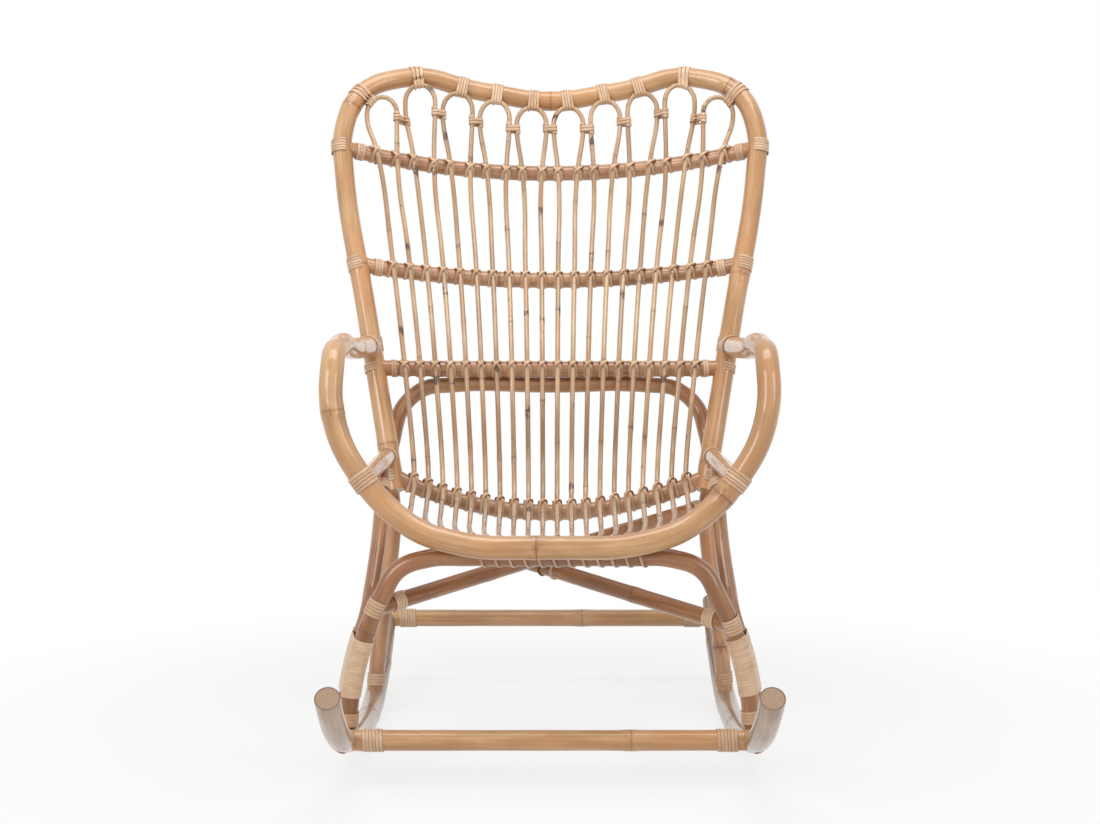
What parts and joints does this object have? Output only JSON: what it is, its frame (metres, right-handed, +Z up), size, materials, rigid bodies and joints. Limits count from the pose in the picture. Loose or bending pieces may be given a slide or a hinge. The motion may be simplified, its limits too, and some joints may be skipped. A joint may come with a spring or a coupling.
{
  "type": "rattan rocking chair",
  "caption": "Rocking chair of bent rattan poles on two curved runners, with a hooped back and arms and a seat and back of looped canes lashed to cross rails.",
  "frame": {"origin": "middle of the bounding box on the floor, under the seat", "axes": "+Z up, the sitter faces -Y, +X to the right as seen from the front"},
  "size_m": [0.7254, 0.9381, 1.0394],
  "materials": {
    "pole": "varnished honey tan rattan pole with node rings",
    "cane": "varnished thin tan cane with dark node scars",
    "peel": "glossy pale rattan peel strands",
    "screw": "plain steel, hidden in the joints"
  },
  "bodies": {
    "root": {"arm_bindings": "peel", "arm_hoop": "pole", "back_hoop": "pole", "brace_bindings": "peel", "brace_cross_lashing": "peel", "cane_01": "cane", "cane_02": "cane", "cane_03": "cane", "cane_04": "cane", "cane_05": "cane", "cane_06": "cane", "cane_07": "cane", "cane_08": "cane", "cane_09": "cane", "cane_10": "cane", "front_foot_bindings": "peel", "front_lashings": "peel", "front_leg_arch": "pole", "front_leg_bindings": "peel", "front_stretcher": "pole", "front_stretcher_bindings": "peel", "joint_screws": "screw", "left_brace": "pole", "left_runner": "pole", "left_seat_side_rail": "pole", "left_strut": "pole", "loop_neck_bindings": "peel", "loop_top_bindings": "peel", "lower_back_rail": "pole", "lower_back_rail_bindings": "peel", "lower_lashings": "peel", "middle_back_rail": "pole", "middle_back_rail_bindings": "peel", "middle_lashings": "peel", "rear_foot_bindings": "peel", "rear_leg_hoop": "pole", "rear_stretcher": "pole", "rear_stretcher_bindings": "peel", "right_brace": "pole", "right_runner": "pole", "right_seat_side_rail": "pole", "right_strut": "pole", "seat_front_end_bindings": "peel", "seat_front_lacing": "peel", "seat_front_rail": "pole", "seat_rear_lashings": "peel", "seat_rear_rail": "pole", "seat_rear_rail_bindings": "peel", "seat_side_bindings": "peel", "strut_bindings": "peel", "upper_back_rail": "pole", "upper_back_rail_bindings": "peel", "upper_lashings": "peel"}
  },
  "joints": []
}
